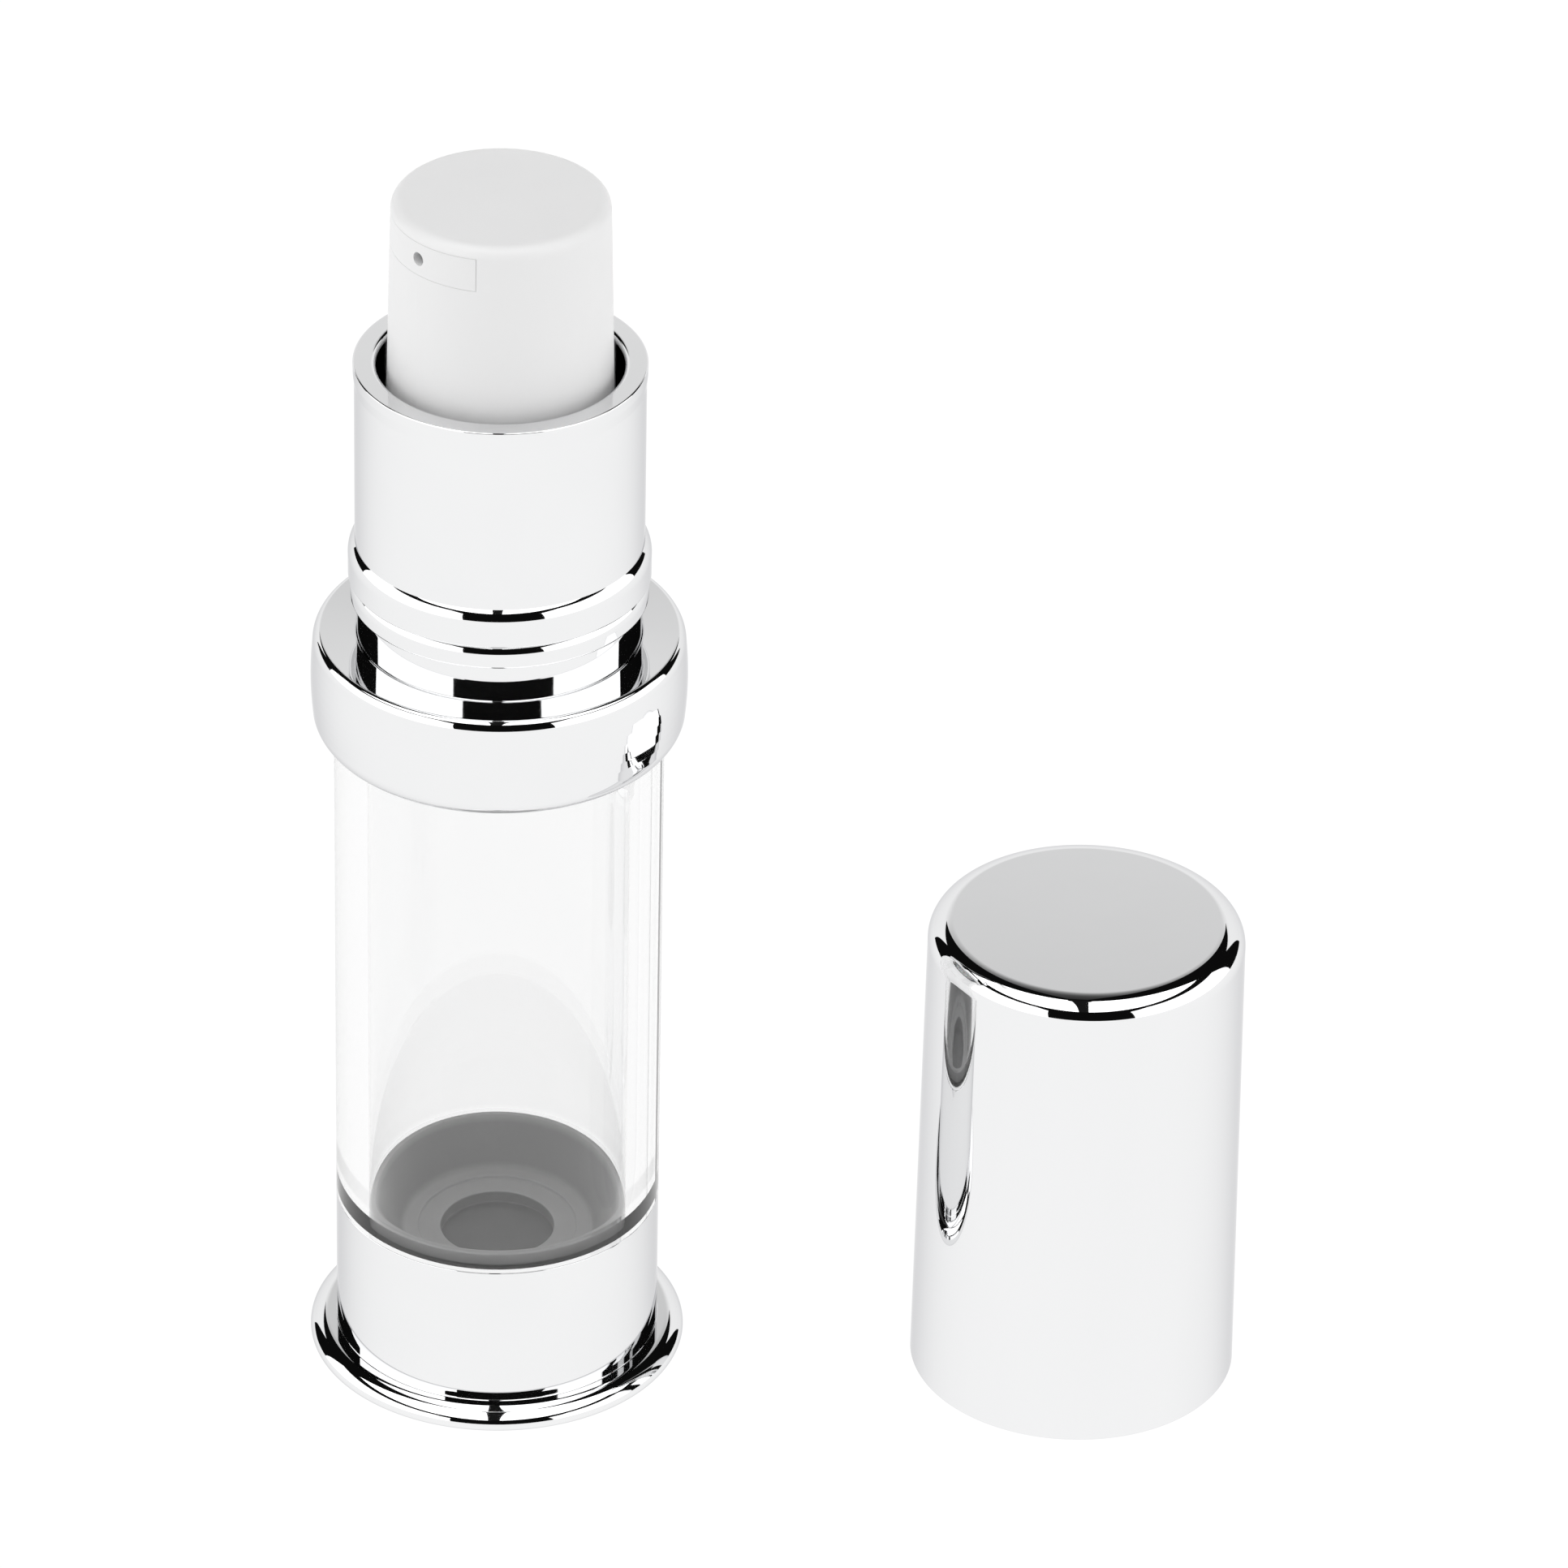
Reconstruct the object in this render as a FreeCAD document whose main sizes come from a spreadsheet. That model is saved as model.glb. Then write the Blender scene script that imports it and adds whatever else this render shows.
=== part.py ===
import FreeCAD, Part
import math
import os
import Sketcher

# Airless pump bottle, overcap taken off and standing beside it. Millimetres, Z up.
# The origin is the middle of the flat underside, on the surface that the bottle stands on.

SIZES = {
    # Fits: radial gap round a piece that slides or turns, gap round a piece that stays put,
    # and the gap between faces of pieces that move apart.
    "running_fit": 0.04,
    "seat_fit": 0.02,
    "face_gap": 0.1,
    # Barrel: a clear thick-walled tube with a thin tail in the base ring and a threaded neck.
    "bore_radius": 8.4,
    "tail_wall": 1.35,
    "tail_length": 10.1,
    "barrel_length": 35.1,
    "neck_wall": 0.8,
    "neck_height": 4.7,
    # Thread of the neck and of the closure: both ridges have the same section and length.
    "thread_pitch": 1.8,
    "thread_depth": 0.45,
    "thread_foot": 0.8,
    "thread_crest": 0.45,
    "thread_turns": 1.2,
    "thread_lift": 1.95,
    # Base ring: skirt over the barrel's tail, and a foot with a fully rounded edge.
    "skirt_wall": 0.77,
    "foot_flare": 1.74,
    "foot_edge_round": 1.25,
    "foot_edge_lift": 0.08,
    "foot_sole_inset": 0.08,
    "foot_corner_round": 0.25,
    "sole_ledge": 0.75,
    "sole_thickness": 0.6,
    # Base plug: closes the barrel's foot, with a vent that lets air in behind the piston.
    "plug_flange": 0.65,
    "plug_skirt_wall": 1.0,
    "plug_skirt_height": 3.9,
    "vent_radius": 0.4,
    "vent_offset": 4.0,
    # Follower piston: a soft cup with a sealing lip at each end.
    "piston_height": 6.8,
    "piston_lip_height": 0.9,
    "piston_waist_depth": 0.46,
    "piston_rim": 0.4,
    "piston_cup_depth": 3.0,
    "piston_step_depth": 0.25,
    "piston_well_depth": 0.85,
    "piston_wall": 0.9,
    # Neck gasket.
    "gasket_thickness": 0.4,
    # Pump housing: plug in the neck, flange on the gasket and the dosing cylinder.
    "housing_plug_depth": 0.9,
    "housing_flange": 0.7,
    "housing_wall": 0.8,
    "nest_gap": 0.3,
    "stroke": 4.5,
    "cylinder_radius": 3.2,
    "port_radius": 0.8,
    "port_length": 0.9,
    "ball_radius": 1.0,
    "ball_pocket_gap": 0.12,
    "ball_pocket_height": 2.5,
    "ball_throat_radius": 0.9,
    "ball_throat_length": 0.5,
    # Screw closure: threaded skirt, plate over the housing's flange, spigot for the sleeve.
    "closure_skirt": 3.9,
    "closure_wall": 0.6,
    "closure_plate": 0.6,
    "spigot_height": 4.0,
    "spigot_wall": 0.7,
    # Shoulder ring: full belly over the closure, tucked in to the barrel below and rounded
    # in to a flat top round the sleeve.
    "shoulder_wall": 1.65,
    "shoulder_height": 7.17,
    "shoulder_edge_round": 0.95,
    "shoulder_belly_fall": 0.12,
    "shoulder_tuck_height": 1.45,
    "shoulder_tuck_fall": 0.1,
    "shoulder_foot_overlap": 0.31,
    "shoulder_lip": 0.4,
    # Collar sleeve: neck with a low bead, snap band, and tall tube that widens to a flat rim.
    # The neck stands inside the closure's edge, and the rest stands out from the neck. The
    # bead and the band go over into the tube in an eighth of a round.
    "sleeve_inset": 1.3,
    "sleeve_wall": 1.28,
    "sleeve_height": 19.43,
    "tube_step": 0.12,
    "bead_step": 0.4,
    "bead_height": 2.59,
    "bead_width": 0.75,
    "bead_round": 1.05,
    "band_step": 0.55,
    "band_height": 4.19,
    "band_width": 1.5,
    "band_round": 1.47,
    "band_foot_round": 0.12,
    "rim_step": 0.19,
    "rim_length": 1.4,
    "rim_edge_round": 0.1,
    "rim_bore_round": 0.35,
    # Stem guide: snap ring that closes the dosing cylinder.
    "guide_plate": 0.8,
    "guide_skirt": 2.8,
    "guide_wall": 0.75,
    # Pump stem, with the spring seat that the actuator rests on.
    "stem_radius": 2.0,
    "stem_bore_radius": 1.0,
    "stem_collar_radius": 2.6,
    "stem_collar_height": 0.9,
    "stem_spigot_radius": 1.55,
    "stem_spigot_length": 1.8,
    "spring_seat_radius": 3.6,
    "spring_seat_thickness": 0.8,
    "stem_top_length": 5.1,
    # Valve tip and dosing piston at the stem's foot.
    "valve_flange_radius": 2.5,
    "valve_flange_thickness": 0.6,
    "valve_rib_length": 5.5,
    "valve_rib_width": 0.5,
    "valve_shift": 0.6,
    "dosing_piston_height": 2.8,
    "dosing_lip_height": 0.65,
    "dosing_waist_radius": 2.7,
    # Return spring.
    "spring_radius": 2.9,
    "spring_wire_radius": 0.25,
    "spring_length": 10.1,
    "spring_turns": 5.5,
    # Actuator: hollow push button with a socket for the stem and a duct to the nozzle.
    "actuator_gap": 0.52,
    "actuator_taper": 0.39,
    "actuator_height": 18.5,
    "actuator_foot_drop": 5.4,
    "actuator_edge_round": 0.8,
    "actuator_crown": 1.2,
    "actuator_wall": 0.9,
    "socket_wall": 0.9,
    "channel_radius": 1.2,
    "duct_radius": 1.0,
    "duct_wall": 0.4,
    # Nozzle insert: curved panel with a spigot in the actuator's duct. Turns are degrees.
    "nozzle_drop": 1.9,
    "nozzle_turn": 224.0,
    "nozzle_span": 70.0,
    "nozzle_span_gap": 0.4,
    "nozzle_panel_height": 2.2,
    "nozzle_panel_thickness": 0.5,
    "nozzle_spigot_length": 1.6,
    "orifice_radius": 0.45,
    # Overcap: drawn metal shell and its plastic lining, standing beside the bottle.
    "overcap_place_x": 37.9,
    "overcap_place_y": -1.1,
    "overcap_room": 1.02,
    "overcap_taper": 0.38,
    "overcap_height": 33.4,
    "overcap_edge_round": 1.6,
    "overcap_wall": 0.42,
    "lining_wall": 0.42,
    "lining_recess": 0.3,
    "grip_bite": 0.1,
    "grip_height": 3.3,
    "grip_width": 0.6,
}

# Shares: of a rounded corner at its middle, of an eighth of a round at its top and halfway
# up, of a length, of a thread ridge's depth that its root is sunk in the wall, and of the
# piston's radius that its floor, step and well take.
ROUND_SHARE = 1 - math.sqrt(0.5)
EIGHTH_RISE_SHARE = math.sin(math.pi / 4)
HALFWAY_RISE_SHARE = math.sin(math.pi / 8)
HALFWAY_FALL_SHARE = 1 - math.cos(math.pi / 8)
HALF_SHARE = 0.5
SUNK_SHARE = 0.1
FLOOR_SHARE = 0.742
STEP_SHARE = 0.622
WELL_SHARE = 0.443


class Length:
    """A size or a sum of sizes, kept both as the sheet's formula and as a number."""

    def __init__(self, formula, number):
        self.formula = formula
        self.number = number

    def __add__(self, other):
        return Length(f"({self.formula} + {other.formula})", self.number + other.number)

    def __sub__(self, other):
        return Length(f"({self.formula} - {other.formula})", self.number - other.number)

    def __neg__(self):
        return Length(f"(-1 * {self.formula})", -self.number)

    def __mul__(self, share):
        if isinstance(share, Length):
            return Length(f"({self.formula} * {share.formula})", self.number * share.number)
        return Length(f"({self.formula} * {share!r})", self.number * share)

    def __truediv__(self, other):
        return Length(f"({self.formula} / {other.formula})", self.number / other.number)

    def side_beside(self, other):
        """The other short side of the right triangle whose long side is this length."""
        formula = f"sqrt({self.formula} ^ 2 - {other.formula} ^ 2)"
        return Length(formula, math.sqrt(self.number**2 - other.number**2))


class Book:
    """The sheet of driving sizes: size.bore_radius is the size of that name."""

    def __init__(self, sizes):
        sheet = doc.addObject("Spreadsheet::Sheet", "Sizes")
        for row, (name, value) in enumerate(sizes.items(), 1):
            sheet.set(f"A{row}", name)
            sheet.set(f"B{row}", str(value))
            sheet.setAlias(f"B{row}", name)
        doc.recompute()
        self.sheet = sheet

    def __getattr__(self, name):
        return Length(f"Sizes.{name}", float(self.sheet.get(name)))


def number(length):
    return length.number if isinstance(length, Length) else length


def bind(owner, path, length):
    """Ties a property to the sheet; a plain zero stays as it is."""
    if isinstance(length, Length):
        owner.setExpression(path, length.formula)


def new_body(name, place=(0, 0, 0), turn=None):
    """A body with its own label, whose place and turn about Z follow the sheet."""
    body = doc.addObject("PartDesign::Body", name)
    body.Label = name
    spot = FreeCAD.Vector(*[number(length) for length in place])
    upright = FreeCAD.Vector(0, 0, 1)
    angle = number(turn) if turn else 0
    body.Placement = FreeCAD.Placement(spot, FreeCAD.Rotation(upright, angle))
    for axis, length in zip("xyz", place):
        bind(body, f"Placement.Base.{axis}", length)
    bind(body, "Placement.Rotation.Angle", turn)
    return body


def new_sketch(body, name, role, offset=0):
    """A sketch on one of the body's own planes, or the offset away from it."""
    plane = [item for item in body.Origin.OriginFeatures if item.Role == role][0]
    sketch = body.newObject("Sketcher::SketchObject", name)
    sketch.AttachmentSupport = [(plane, "")]
    sketch.MapMode = "FlatFace"
    sketch.AttachmentOffset = FreeCAD.Placement(
        FreeCAD.Vector(0, 0, number(offset)), FreeCAD.Rotation()
    )
    bind(sketch, "AttachmentOffset.Base.z", offset)
    return sketch


def pin_point(sketch, curve, end, across, up):
    """Holds one end of a curve at its place from the sketch's origin."""
    for kind, length in (("DistanceX", across), ("DistanceY", up)):
        rule = Sketcher.Constraint(kind, -1, 1, curve, end, number(length))
        bind(sketch, f"Constraints[{sketch.addConstraint(rule)}]", length)


def draw_outline(sketch, outline):
    """Closed outline through corners (across, up), with arcs past ("through", across, up)."""

    def spot(item):
        return FreeCAD.Vector(number(item[-2]), number(item[-1]), 0)

    corners = [item for item in outline if len(item) == 2]
    ends = []
    step = 0
    for index, corner in enumerate(corners):
        following = corners[(index + 1) % len(corners)]
        past = outline[(step + 1) % len(outline)]
        if len(past) == 3:
            begin, middle, end = spot(corner), spot(past), spot(following)
            # A sketch keeps its arcs anticlockwise, so a clockwise one starts at its far end.
            forward = (middle - begin).cross(end - begin).z > 0
            arc = Part.Arc(begin, middle, end) if forward else Part.Arc(end, middle, begin)
            curve = sketch.addGeometry(arc, False)
            ends.append((curve, 1, 2) if forward else (curve, 2, 1))
            mark = sketch.addGeometry(Part.Point(spot(past)), True)
            pin_point(sketch, mark, 1, past[1], past[2])
            sketch.addConstraint(Sketcher.Constraint("PointOnObject", mark, 1, curve))
            step += 2
        else:
            line = Part.LineSegment(spot(corner), spot(following))
            ends.append((sketch.addGeometry(line, False), 1, 2))
            step += 1
    for index, (curve, first, last) in enumerate(ends):
        after, after_first, _ = ends[(index + 1) % len(ends)]
        sketch.addConstraint(Sketcher.Constraint("Coincident", curve, last, after, after_first))
        pin_point(sketch, curve, first, *corners[index])


def draw_ring(sketch, across, up, radius):
    """A circle at its place from the sketch's origin."""
    centre = FreeCAD.Vector(number(across), number(up), 0)
    circle = Part.Circle(centre, FreeCAD.Vector(0, 0, 1), number(radius))
    curve = sketch.addGeometry(circle, False)
    pin_point(sketch, curve, 3, across, up)
    rule = sketch.addConstraint(Sketcher.Constraint("Radius", curve, number(radius)))
    bind(sketch, f"Constraints[{rule}]", radius)


def rounded(across, up, radius, inward, upward, level_first):
    """A quarter-round corner: where it starts, what it goes through and where it ends."""
    middle = radius * ROUND_SHARE
    level = (across - radius if inward else across + radius, up)
    wall = (across, up + radius if upward else up - radius)
    past = (
        "through",
        across - middle if inward else across + middle,
        up + middle if upward else up - middle,
    )
    return [level, past, wall] if level_first else [wall, past, level]


def eased(across, up, radius):
    """An eighth of a round in from the top of an outer wall: its start, middle and end."""
    halfway_across = across - radius * HALFWAY_FALL_SHARE
    return [
        (across, up),
        ("through", halfway_across, up + radius * HALFWAY_RISE_SHARE),
        (across - radius * ROUND_SHARE, up + radius * EIGHTH_RISE_SHARE),
    ]


def turned(body, name, outline, kind="PartDesign::Revolution", span=None):
    """Turns a half section (radius, height) about the Z axis, through a full turn or a span."""
    sketch = new_sketch(body, name + "_outline", "XZ_Plane")
    draw_outline(sketch, outline)
    feature = body.newObject(kind, name)
    feature.Profile = sketch
    feature.ReferenceAxis = (sketch, ["V_Axis"])
    feature.Angle = number(span) if span else 360
    feature.Midplane = bool(span)
    bind(feature, "Angle", span)
    doc.recompute()
    return feature


def check_cut(cut):
    """A cut that points away from the solid removes nothing, so the volume is compared."""
    doc.recompute()
    if not cut.Shape.Volume < cut.BaseFeature.Shape.Volume:
        raise RuntimeError(f"{cut.Label} removes nothing")


def round_pad(body, name, role, offset, up, radius, length):
    """A round boss away from one of the body's own planes."""
    sketch = new_sketch(body, name + "_outline", role, offset)
    draw_ring(sketch, 0, up, radius)
    boss = body.newObject("PartDesign::Pad", name)
    boss.Profile = sketch
    boss.Length = number(length)
    bind(boss, "Length", length)
    doc.recompute()


def round_bore(body, name, role, offset, across, up, radius, length):
    """A round bore away from one of the body's own planes."""
    sketch = new_sketch(body, name + "_outline", role, offset)
    draw_ring(sketch, across, up, radius)
    bore = body.newObject("PartDesign::Pocket", name)
    bore.Profile = sketch
    bore.Reversed = True
    bore.Length = number(length)
    bind(bore, "Length", length)
    check_cut(bore)


def wound(body, name, sketch, pitch, height):
    """Winds a sketch's outline up a right-handed helix about the Z axis."""
    helix = body.newObject("PartDesign::AdditiveHelix", name)
    helix.Profile = sketch
    helix.ReferenceAxis = (sketch, ["V_Axis"])
    helix.Mode = 0
    helix.Pitch = number(pitch)
    helix.Height = number(height)
    helix.Angle = 0
    bind(helix, "Pitch", pitch)
    bind(helix, "Height", height)
    doc.recompute()


def thread(body, name, root, crest, middle):
    """A thread ridge from its foot at radius root to its crest, its start at height middle."""
    half_foot = size.thread_foot * HALF_SHARE
    half_crest = size.thread_crest * HALF_SHARE
    sunk = root + (root - crest) * SUNK_SHARE
    sketch = new_sketch(body, name + "_outline", "XZ_Plane")
    draw_outline(sketch, [
        (sunk, middle - half_foot),
        (root, middle - half_foot),
        (crest, middle - half_crest),
        (crest, middle + half_crest),
        (root, middle + half_foot),
        (sunk, middle + half_foot),
    ])
    wound(body, name, sketch, size.thread_pitch, size.thread_pitch * size.thread_turns)


doc = FreeCAD.newDocument("AirlessPumpBottle")
size = Book(SIZES)

# Radii and levels that several pieces share, from the bore outwards and from the foot up.
tail_radius = size.bore_radius + size.tail_wall
skirt_bore = tail_radius + size.seat_fit
barrel_radius = skirt_bore + size.skirt_wall
neck_radius = size.bore_radius + size.neck_wall
sole_opening = tail_radius - size.sole_ledge
closure_bore = neck_radius + size.thread_depth + size.face_gap
closure_radius = closure_bore + size.closure_wall
sleeve_neck = closure_radius - size.sleeve_inset
sleeve_bore = sleeve_neck - size.sleeve_wall
band_radius = sleeve_neck + size.band_step
actuator_foot_radius = sleeve_bore - size.actuator_gap
actuator_top_radius = actuator_foot_radius - size.actuator_taper
overcap_mouth = band_radius + size.overcap_room
overcap_top = overcap_mouth - size.overcap_taper

plug_top = size.sole_thickness + size.seat_fit + size.plug_flange
tail_foot = plug_top + size.seat_fit
base_ring_top = tail_foot + size.tail_length
barrel_step = base_ring_top + size.barrel_length
neck_top = barrel_step + size.neck_height
gasket_foot = neck_top + size.seat_fit
flange_foot = gasket_foot + size.gasket_thickness + size.seat_fit
flange_top = flange_foot + size.housing_flange
closure_plate_foot = flange_top + size.seat_fit
closure_top = closure_plate_foot + size.closure_plate
closure_foot = neck_top - size.closure_skirt
shoulder_foot = barrel_step + size.face_gap
shoulder_top = shoulder_foot + size.shoulder_height

piston_foot = plug_top + size.plug_skirt_height + size.face_gap
piston_top = piston_foot + size.piston_height
piston_lip = size.bore_radius - size.running_fit
floor_radius = piston_lip * FLOOR_SHARE
step_radius = piston_lip * STEP_SHARE
well_radius = piston_lip * WELL_SHARE
piston_floor = piston_top - size.piston_cup_depth
piston_step = piston_floor - size.piston_step_depth
piston_well = piston_step - size.piston_well_depth

# The pump's underside has the form of the piston's cup, so the piston nests under it
# at the top of its travel and leaves no product behind.
plug_face = neck_top - size.housing_plug_depth
nest_lift = plug_face - piston_top
housing_foot = piston_well + nest_lift
ball_seat = housing_foot + size.port_length
cylinder_floor = ball_seat + size.ball_pocket_height + size.ball_throat_length

# The dosing cylinder is as long as the stroke and what moves in it need.
valve_foot = cylinder_floor + size.nest_gap + size.stroke
valve_seat = valve_foot + size.valve_flange_thickness
dosing_piston_foot = valve_seat + size.seat_fit
dosing_piston_top = dosing_piston_foot + size.dosing_piston_height
stem_collar_foot = dosing_piston_top + size.valve_shift + size.running_fit
stem_collar_top = stem_collar_foot + size.stem_collar_height
cylinder_top = stem_collar_top + size.face_gap
cylinder_wall_radius = size.cylinder_radius + size.housing_wall
guide_plate_foot = cylinder_top + size.seat_fit
guide_top = guide_plate_foot + size.guide_plate
spring_foot = guide_top + size.seat_fit
spring_seat_foot = spring_foot + size.spring_length + size.seat_fit
spring_seat_top = spring_seat_foot + size.spring_seat_thickness
stem_top = spring_seat_top + size.stem_top_length
actuator_foot = spring_seat_top - size.actuator_foot_drop
actuator_top = actuator_foot + size.actuator_height
nozzle_level = actuator_top - size.nozzle_drop


def barrel():
    body = new_body("barrel")
    turned(body, "tube", [
        (size.bore_radius, tail_foot),
        (tail_radius, tail_foot),
        (tail_radius, base_ring_top + size.seat_fit),
        (barrel_radius, base_ring_top + size.seat_fit),
        (barrel_radius, barrel_step),
        (neck_radius, barrel_step),
        (neck_radius, neck_top),
        (size.bore_radius, neck_top),
    ])
    crest = neck_radius + size.thread_depth
    thread(body, "neck_thread", neck_radius, crest, barrel_step + size.thread_lift)


def base_ring():
    """The skirt runs down into a round foot edge, with a fine corner round between them."""
    body = new_body("base_ring")
    foot_radius = barrel_radius + size.foot_flare
    edge = size.foot_edge_round
    corner = size.foot_corner_round
    foot_top = size.foot_edge_lift + edge
    lift_share = size.foot_edge_lift * ROUND_SHARE
    turned(body, "ring", [
        (sole_opening, 0),
        (foot_radius - size.foot_sole_inset, 0),
        ("through", foot_radius - size.foot_sole_inset * ROUND_SHARE, lift_share),
        (foot_radius, size.foot_edge_lift),
        ("through", foot_radius - edge * ROUND_SHARE, foot_top - edge * ROUND_SHARE),
        (foot_radius - edge, foot_top),
    ] + rounded(barrel_radius, foot_top, corner, False, True, True) + [
        (barrel_radius, base_ring_top),
        (skirt_bore, base_ring_top),
        (skirt_bore, size.sole_thickness),
        (sole_opening, size.sole_thickness),
    ])


def base_plug():
    """The plug's boss is level with the ring's sole, and its skirt fits the barrel's bore."""
    body = new_body("base_plug")
    skirt = size.bore_radius - size.seat_fit
    flange_under = size.sole_thickness + size.seat_fit
    turned(body, "plug", [
        (0, 0),
        (sole_opening - size.seat_fit, 0),
        (sole_opening - size.seat_fit, flange_under),
        (tail_radius, flange_under),
        (tail_radius, plug_top),
        (skirt, plug_top),
        (skirt, plug_top + size.plug_skirt_height),
        (skirt - size.plug_skirt_wall, plug_top + size.plug_skirt_height),
        (skirt - size.plug_skirt_wall, plug_top),
        (0, plug_top),
    ])
    round_bore(body, "vent", "XY_Plane", 0, size.vent_offset, 0, size.vent_radius, plug_top)


def follower_piston():
    body = new_body("follower_piston")
    under = piston_well - size.piston_wall
    waist = piston_lip - size.piston_waist_depth
    hollow = waist - size.piston_wall
    turned(body, "cup", [
        (0, piston_well),
        (well_radius, piston_well),
        (well_radius, piston_step),
        (step_radius, piston_step),
        (step_radius, piston_floor),
        (floor_radius, piston_floor),
        (piston_lip - size.piston_rim, piston_top),
        (piston_lip, piston_top),
        (piston_lip, piston_top - size.piston_lip_height),
        (waist, piston_top - size.piston_lip_height - size.piston_rim),
        (waist, piston_foot + size.piston_lip_height + size.piston_rim),
        (piston_lip, piston_foot + size.piston_lip_height),
        (piston_lip, piston_foot),
        (piston_lip - size.piston_rim, piston_foot),
        (hollow, piston_foot + size.piston_lip_height),
        (hollow, under),
        (0, under),
    ])


def neck_gasket():
    body = new_body("neck_gasket")
    gasket_top = gasket_foot + size.gasket_thickness
    turned(body, "washer", [
        (size.bore_radius + size.face_gap, gasket_foot),
        (neck_radius, gasket_foot),
        (neck_radius, gasket_top),
        (size.bore_radius + size.face_gap, gasket_top),
    ])


def pump_housing():
    body = new_body("pump_housing")
    plug = size.bore_radius - size.running_fit
    pocket = size.ball_radius + size.ball_pocket_gap
    cup_floor = piston_floor + nest_lift + size.housing_wall
    cup_radius = floor_radius - size.nest_gap - size.housing_wall
    turned(body, "housing", [
        (size.port_radius, housing_foot),
        (size.port_radius, ball_seat),
        (pocket, ball_seat),
        (pocket, ball_seat + size.ball_pocket_height),
        (size.ball_throat_radius, ball_seat + size.ball_pocket_height),
        (size.ball_throat_radius, cylinder_floor),
        (size.cylinder_radius, cylinder_floor),
        (size.cylinder_radius, cylinder_top),
        (cylinder_wall_radius, cylinder_top),
        (cylinder_wall_radius, cup_floor),
        (cup_radius, cup_floor),
        (plug - size.housing_wall, flange_foot),
        (plug - size.housing_wall, flange_top),
        (closure_bore - size.face_gap, flange_top),
        (closure_bore - size.face_gap, flange_foot),
        (plug, flange_foot),
        (plug, plug_face),
        (piston_lip - size.piston_rim - size.nest_gap, plug_face),
        (floor_radius - size.nest_gap, piston_floor + nest_lift),
        (step_radius - size.nest_gap, piston_floor + nest_lift),
        (step_radius - size.nest_gap, piston_step + nest_lift),
        (well_radius - size.nest_gap, piston_step + nest_lift),
        (well_radius - size.nest_gap, housing_foot),
    ])


def inlet_ball():
    """The ball rests on the edge of the port, a fit above touching it."""
    ball = doc.addObject("Part::Sphere", "inlet_ball")
    ball.Label = "inlet_ball"
    ball.Radius = number(size.ball_radius)
    bind(ball, "Radius", size.ball_radius)
    rise = size.ball_radius.side_beside(size.port_radius) + size.running_fit
    ball.Placement.Base = FreeCAD.Vector(0, 0, number(ball_seat + rise))
    bind(ball, "Placement.Base.z", ball_seat + rise)


def screw_closure():
    """The closure's ridge runs under the neck's ridge, a face gap below its flank."""
    body = new_body("screw_closure")
    spigot = sleeve_bore - size.seat_fit
    hole = cylinder_wall_radius + size.face_gap
    turned(body, "closure", [
        (hole, closure_plate_foot),
        (closure_bore, closure_plate_foot),
        (closure_bore, closure_foot),
        (closure_radius, closure_foot),
        (closure_radius, closure_top),
        (spigot, closure_top),
        (spigot, closure_top + size.spigot_height),
        (spigot - size.spigot_wall, closure_top + size.spigot_height),
        (spigot - size.spigot_wall, closure_top),
        (hole, closure_top),
    ])
    depth = size.thread_depth + size.face_gap
    slope = (size.thread_foot - size.thread_crest) / size.thread_depth
    flanks = size.thread_foot - depth * slope * HALF_SHARE
    middle = barrel_step + size.thread_lift - flanks - size.face_gap
    thread(body, "closure_thread", closure_bore, closure_bore - size.thread_depth, middle)


def shoulder_ring():
    """A lip under the closure, a tuck out to the full belly and a round in to the flat top."""
    body = new_body("shoulder_ring")
    bore = closure_radius + size.seat_fit
    hole = sleeve_neck + size.seat_fit
    plate_foot = closure_top + size.seat_fit
    lip_top = closure_foot - size.face_gap
    belly = closure_radius + size.shoulder_wall
    foot = closure_radius + size.shoulder_foot_overlap
    tuck = belly - size.shoulder_belly_fall
    tuck_top = shoulder_foot + size.shoulder_tuck_height
    rim_level = shoulder_top - size.shoulder_edge_round
    turned(body, "belly", [
        (closure_radius - size.shoulder_lip, shoulder_foot),
        (foot, shoulder_foot),
        (
            "through",
            tuck - (tuck - foot) * ROUND_SHARE - size.shoulder_tuck_fall,
            shoulder_foot + size.shoulder_tuck_height * ROUND_SHARE,
        ),
        (tuck, tuck_top),
        ("through", belly, (tuck_top + rim_level) * HALF_SHARE),
    ] + rounded(tuck, shoulder_top, size.shoulder_edge_round, True, False, False) + [
        (hole, shoulder_top),
        (hole, plate_foot),
        (bore, plate_foot),
        (bore, lip_top),
        (closure_radius - size.shoulder_lip, lip_top),
    ])


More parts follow.
